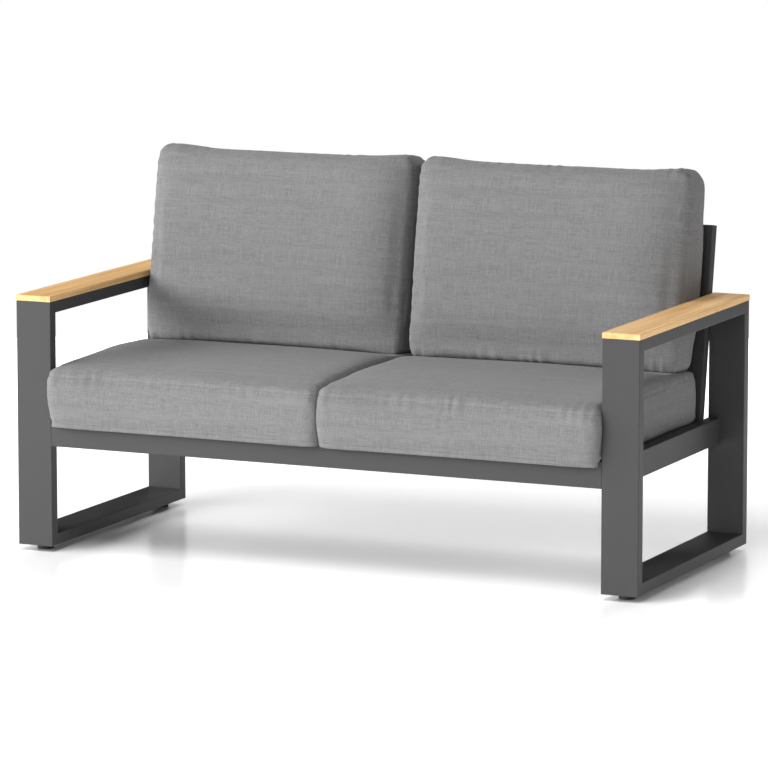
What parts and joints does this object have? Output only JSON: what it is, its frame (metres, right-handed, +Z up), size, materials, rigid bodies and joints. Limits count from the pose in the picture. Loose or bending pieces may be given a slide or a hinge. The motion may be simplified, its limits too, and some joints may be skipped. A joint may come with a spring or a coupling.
{
  "type": "patio loveseat",
  "caption": "Low outdoor loveseat: rectangular side loops of flat tube with wooden armrests, slatted seat and leaning back, loose crowned cushions.",
  "frame": {"origin": "on the floor, midway across the width and midway of the whole depth, cushions included", "axes": "+Z up, +X to the right as seen from the front, -Y towards the front, where the sitter faces"},
  "size_m": [1.4014, 0.6721, 0.8112],
  "materials": {
    "frame_metal": "charcoal grey powder coat, fine satin grain, on welded aluminium tube",
    "armrest_wood": "oiled honey-coloured hardwood, grain along the arm",
    "cushion_fabric": "mid-grey melange outdoor linen weave",
    "foam": "open-cell seating foam, matt",
    "glide_plastic": "black moulded plastic, fine matt texture",
    "fastener_steel": "zinc-plated or stainless steel, plain"
  },
  "bodies": {
    "frame": {"left_front_leg": "frame_metal", "left_rear_leg": "frame_metal", "left_arm_rail": "frame_metal", "left_floor_rail": "frame_metal", "left_side_rail": "frame_metal", "left_seat_end_rail": "frame_metal", "left_back_post": "frame_metal", "right_front_leg": "frame_metal", "right_rear_leg": "frame_metal", "right_arm_rail": "frame_metal", "right_floor_rail": "frame_metal", "right_side_rail": "frame_metal", "right_seat_end_rail": "frame_metal", "right_back_post": "frame_metal", "front_apron": "frame_metal", "seat_rear_rail": "frame_metal", "seat_centre_bearer": "frame_metal", "back_top_rail": "frame_metal", "back_bottom_rail": "frame_metal", "seat_slat_1": "frame_metal", "seat_slat_2": "frame_metal", "seat_slat_3": "frame_metal", "seat_slat_4": "frame_metal", "seat_slat_5": "frame_metal", "seat_slat_6": "frame_metal", "seat_slat_7": "frame_metal", "seat_slat_8": "frame_metal", "back_slat_1": "frame_metal", "back_slat_2": "frame_metal", "back_slat_3": "frame_metal", "back_slat_4": "frame_metal", "back_slat_5": "frame_metal", "back_slat_6": "frame_metal", "back_slat_7": "frame_metal", "left_armrest": "armrest_wood", "right_armrest": "armrest_wood", "left_front_foot": "glide_plastic", "left_rear_foot": "glide_plastic", "right_front_foot": "glide_plastic", "right_rear_foot": "glide_plastic", "left_post_plug": "glide_plastic", "right_post_plug": "glide_plastic", "frame_bolts": "fastener_steel", "frame_washers": "fastener_steel", "threaded_inserts": "fastener_steel", "armrest_screws": "fastener_steel"},
    "left_seat": {"left_seat_cushion": "cushion_fabric", "left_seat_foam": "foam"},
    "left_back": {"left_back_cushion": "cushion_fabric", "left_back_foam": "foam"},
    "right_seat": {"right_seat_cushion": "cushion_fabric", "right_seat_foam": "foam"},
    "right_back": {"right_back_cushion": "cushion_fabric", "right_back_foam": "foam"}
  },
  "joints": [
    {"name": "left_seat_lift", "type": "slide", "parent": "frame", "child": "left_seat", "axis": [0, 0, 1], "range_m": [0, 0.27]},
    {"name": "left_back_lift", "type": "slide", "parent": "left_seat", "child": "left_back", "axis": [0, 0.165, 0.9863], "range_m": [0, 0.3]},
    {"name": "right_seat_lift", "type": "slide", "parent": "frame", "child": "right_seat", "axis": [0, 0, 1], "range_m": [0, 0.27]},
    {"name": "right_back_lift", "type": "slide", "parent": "right_seat", "child": "right_back", "axis": [0, 0.165, 0.9863], "range_m": [0, 0.3]}
  ]
}
